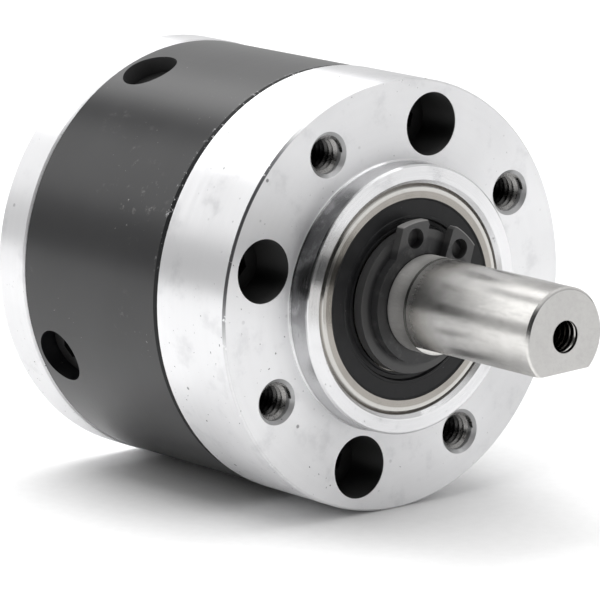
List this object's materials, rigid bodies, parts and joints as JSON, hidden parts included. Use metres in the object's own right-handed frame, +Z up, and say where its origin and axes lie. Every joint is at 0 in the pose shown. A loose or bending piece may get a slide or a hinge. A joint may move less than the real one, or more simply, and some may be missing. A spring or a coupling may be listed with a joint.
{
  "type": "planetary gearbox",
  "caption": "Round inline two-stage planetary gearbox with a flanged face, a D-cut output shaft in ball bearings, a tapped mounting circle and a motor flange.",
  "frame": {"origin": "on the gearbox's axis, in the plane of the front flange's front face", "axes": "+X along the output shaft, away from the flange; +Z up"},
  "size_m": [0.064, 0.045, 0.045],
  "materials": {
    "machined_aluminium": "fine turned, bright",
    "black_steel": "satin black oxide",
    "shaft_steel": "ground",
    "gear_steel": "hobbed, oiled",
    "bearing_steel": "polished",
    "spring_steel": "phosphated",
    "screw_steel": "black oxide",
    "seal_rubber": "matte",
    "bush_bronze": "sintered, oiled",
    "cage_brass": "pressed"
  },
  "bodies": {
    "housing": {"front_flange": "machined_aluminium", "ring_gear": "black_steel", "motor_flange": "machined_aluminium", "flange_screws": "screw_steel", "radial_screws": "screw_steel", "input_thrust_plate": "gear_steel", "front_bearing_outer_ring": "bearing_steel", "front_bearing_front_seal": "seal_rubber", "front_bearing_back_seal": "seal_rubber", "rear_bearing_outer_ring": "bearing_steel", "rear_bearing_front_seal": "seal_rubber", "rear_bearing_back_seal": "seal_rubber"},
    "output": {"output_shaft": "shaft_steel", "output_pin_retainer": "gear_steel", "front_bearing_inner_ring": "bearing_steel", "rear_bearing_inner_ring": "bearing_steel", "bearing_spacer": "shaft_steel", "stop_washer": "spring_steel", "retaining_ring": "spring_steel", "output_pin_1": "bearing_steel", "output_pin_2": "bearing_steel", "output_pin_3": "bearing_steel"},
    "front_ball_set": {"front_bearing_balls": "bearing_steel", "front_bearing_cage": "cage_brass"},
    "rear_ball_set": {"rear_bearing_balls": "bearing_steel", "rear_bearing_cage": "cage_brass"},
    "output_planet_1": {"output_planet_1": "gear_steel", "output_bush_1": "bush_bronze"},
    "output_planet_2": {"output_planet_2": "gear_steel", "output_bush_2": "bush_bronze"},
    "output_planet_3": {"output_planet_3": "gear_steel", "output_bush_3": "bush_bronze"},
    "first_stage": {"first_carrier": "gear_steel", "output_sun_gear": "gear_steel", "first_pin_retainer": "gear_steel", "first_pin_1": "bearing_steel", "first_pin_2": "bearing_steel", "first_pin_3": "bearing_steel"},
    "first_planet_1": {"first_planet_1": "gear_steel", "first_bush_1": "bush_bronze"},
    "first_planet_2": {"first_planet_2": "gear_steel", "first_bush_2": "bush_bronze"},
    "first_planet_3": {"first_planet_3": "gear_steel", "first_bush_3": "bush_bronze"},
    "input_sun": {"input_sun_gear": "gear_steel"}
  },
  "joints": [
    {"name": "output_spin", "type": "hinge", "parent": "housing", "child": "output", "pos_m": [0, 0, 0], "axis": [1, 0, 0], "continuous": true},
    {"name": "front_ball_spin", "type": "hinge", "parent": "housing", "child": "front_ball_set", "pos_m": [0, 0, 0], "axis": [1, 0, 0], "continuous": true},
    {"name": "rear_ball_spin", "type": "hinge", "parent": "housing", "child": "rear_ball_set", "pos_m": [0, 0, 0], "axis": [1, 0, 0], "continuous": true},
    {"name": "output_planet_1_spin", "type": "hinge", "parent": "output", "child": "output_planet_1", "pos_m": [0, 0, 0.01013], "axis": [1, 0, 0], "continuous": true},
    {"name": "output_planet_2_spin", "type": "hinge", "parent": "output", "child": "output_planet_2", "pos_m": [0, -0.00877, -0.00506], "axis": [1, 0, 0], "continuous": true},
    {"name": "output_planet_3_spin", "type": "hinge", "parent": "output", "child": "output_planet_3", "pos_m": [0, 0.00877, -0.00506], "axis": [1, 0, 0], "continuous": true},
    {"name": "first_stage_spin", "type": "hinge", "parent": "housing", "child": "first_stage", "pos_m": [0, 0, 0], "axis": [1, 0, 0], "continuous": true},
    {"name": "first_planet_1_spin", "type": "hinge", "parent": "first_stage", "child": "first_planet_1", "pos_m": [0, 0, 0.01013], "axis": [1, 0, 0], "continuous": true},
    {"name": "first_planet_2_spin", "type": "hinge", "parent": "first_stage", "child": "first_planet_2", "pos_m": [0, -0.00877, -0.00506], "axis": [1, 0, 0], "continuous": true},
    {"name": "first_planet_3_spin", "type": "hinge", "parent": "first_stage", "child": "first_planet_3", "pos_m": [0, 0.00877, -0.00506], "axis": [1, 0, 0], "continuous": true},
    {"name": "input_spin", "type": "hinge", "parent": "housing", "child": "input_sun", "pos_m": [0, 0, 0], "axis": [1, 0, 0], "continuous": true}
  ],
  "couplings": [
    {"joint": "front_ball_spin", "follows": "output_spin", "ratio": 0.4339},
    {"joint": "rear_ball_spin", "follows": "output_spin", "ratio": 0.4339},
    {"joint": "output_planet_1_spin", "follows": "output_spin", "ratio": -3.25},
    {"joint": "output_planet_2_spin", "follows": "output_spin", "ratio": -3.25},
    {"joint": "output_planet_3_spin", "follows": "output_spin", "ratio": -3.25},
    {"joint": "first_stage_spin", "follows": "output_spin", "ratio": 3.6},
    {"joint": "first_planet_1_spin", "follows": "output_spin", "ratio": -11.7},
    {"joint": "first_planet_2_spin", "follows": "output_spin", "ratio": -11.7},
    {"joint": "first_planet_3_spin", "follows": "output_spin", "ratio": -11.7},
    {"joint": "input_spin", "follows": "output_spin", "ratio": 12.96}
  ]
}
